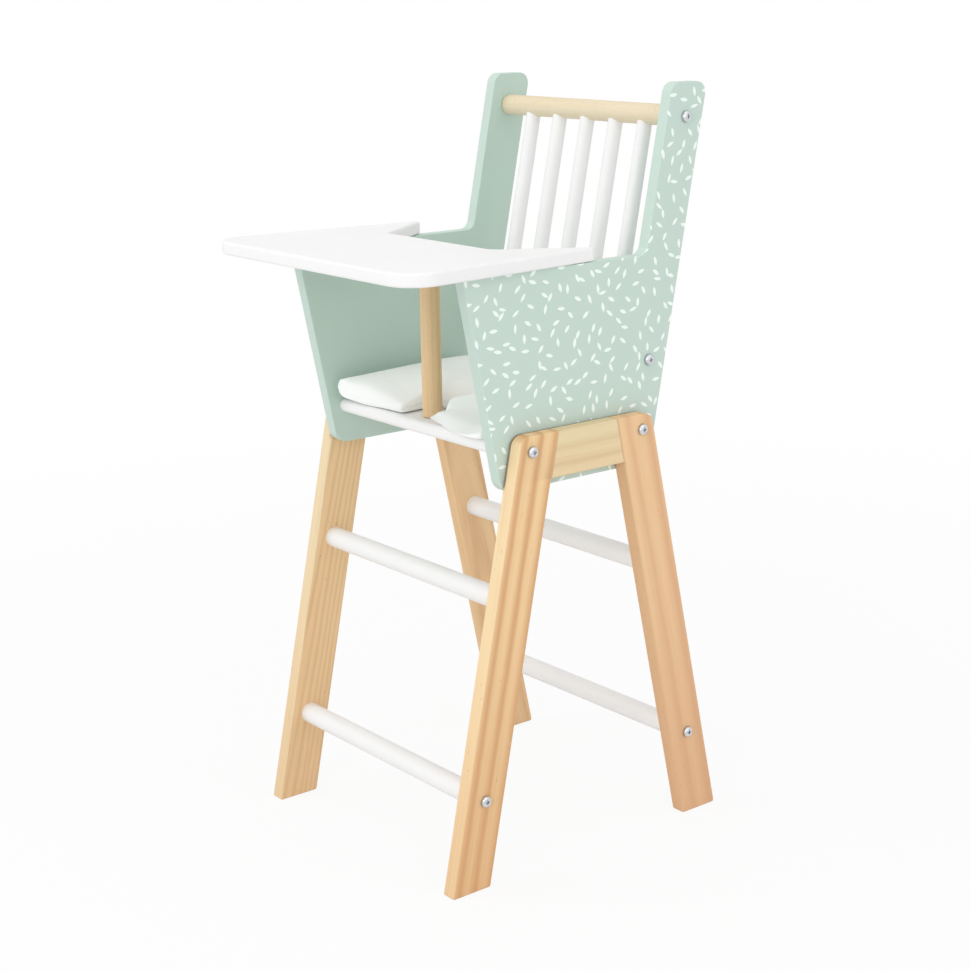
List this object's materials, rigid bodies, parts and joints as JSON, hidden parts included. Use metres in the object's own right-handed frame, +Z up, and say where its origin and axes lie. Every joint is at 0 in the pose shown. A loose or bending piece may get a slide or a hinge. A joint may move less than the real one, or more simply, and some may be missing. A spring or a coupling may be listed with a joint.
{
  "type": "doll high chair",
  "caption": "Wooden high chair for dolls: painted side panels on splayed leg frames, slatted leaning back, seat board with a notched cushion, tray on a round post.",
  "frame": {"origin": "on the floor, in the middle of the footprint of feet and tray", "axes": "+Z up, the sitter faces -Y, +X towards the right side as seen from the front"},
  "size_m": [0.252, 0.2916, 0.57],
  "materials": {
    "mint_paint": "satin paint, printed with small pale dashes on the outer face",
    "white_paint": "satin white paint",
    "pine": "clear matt lacquer",
    "beech": "clear satin lacquer",
    "cotton": "plain woven cotton",
    "zinc": "bright zinc"
  },
  "bodies": {
    "chair": {"right_side_panel": "mint_paint", "left_side_panel": "mint_paint", "right_bridge_rail": "pine", "right_front_leg": "pine", "right_front_upper_frame_dowel": "beech", "right_front_lower_frame_dowel": "beech", "right_rear_leg": "pine", "right_rear_upper_frame_dowel": "beech", "right_rear_lower_frame_dowel": "beech", "left_bridge_rail": "pine", "left_front_leg": "pine", "left_front_upper_frame_dowel": "beech", "left_front_lower_frame_dowel": "beech", "left_rear_leg": "pine", "left_rear_upper_frame_dowel": "beech", "left_rear_lower_frame_dowel": "beech", "front_upper_rung": "white_paint", "front_lower_rung": "white_paint", "rear_upper_rung": "white_paint", "rear_lower_rung": "white_paint", "seat_board": "white_paint", "tray_post": "beech", "post_screw": "zinc", "tray": "white_paint", "right_front_tray_pin": "beech", "right_rear_tray_pin": "beech", "left_front_tray_pin": "beech", "left_rear_tray_pin": "beech", "lower_back_rail": "beech", "top_back_rail": "beech", "back_slat_1": "white_paint", "back_slat_2": "white_paint", "back_slat_3": "white_paint", "back_slat_4": "white_paint", "back_slat_5": "white_paint", "right_lower_back_screw": "zinc", "right_top_back_screw": "zinc", "right_front_frame_screw": "zinc", "right_front_rung_screw": "zinc", "right_rear_frame_screw": "zinc", "right_rear_rung_screw": "zinc", "left_lower_back_screw": "zinc", "left_top_back_screw": "zinc", "left_front_frame_screw": "zinc", "left_front_rung_screw": "zinc", "left_rear_frame_screw": "zinc", "left_rear_rung_screw": "zinc"},
    "cushion": {"seat_cushion": "cotton"}
  },
  "joints": [
    {"name": "cushion_lift", "type": "slide", "parent": "chair", "child": "cushion", "axis": [0, 0, 1], "range_m": [0, 0.08]}
  ]
}
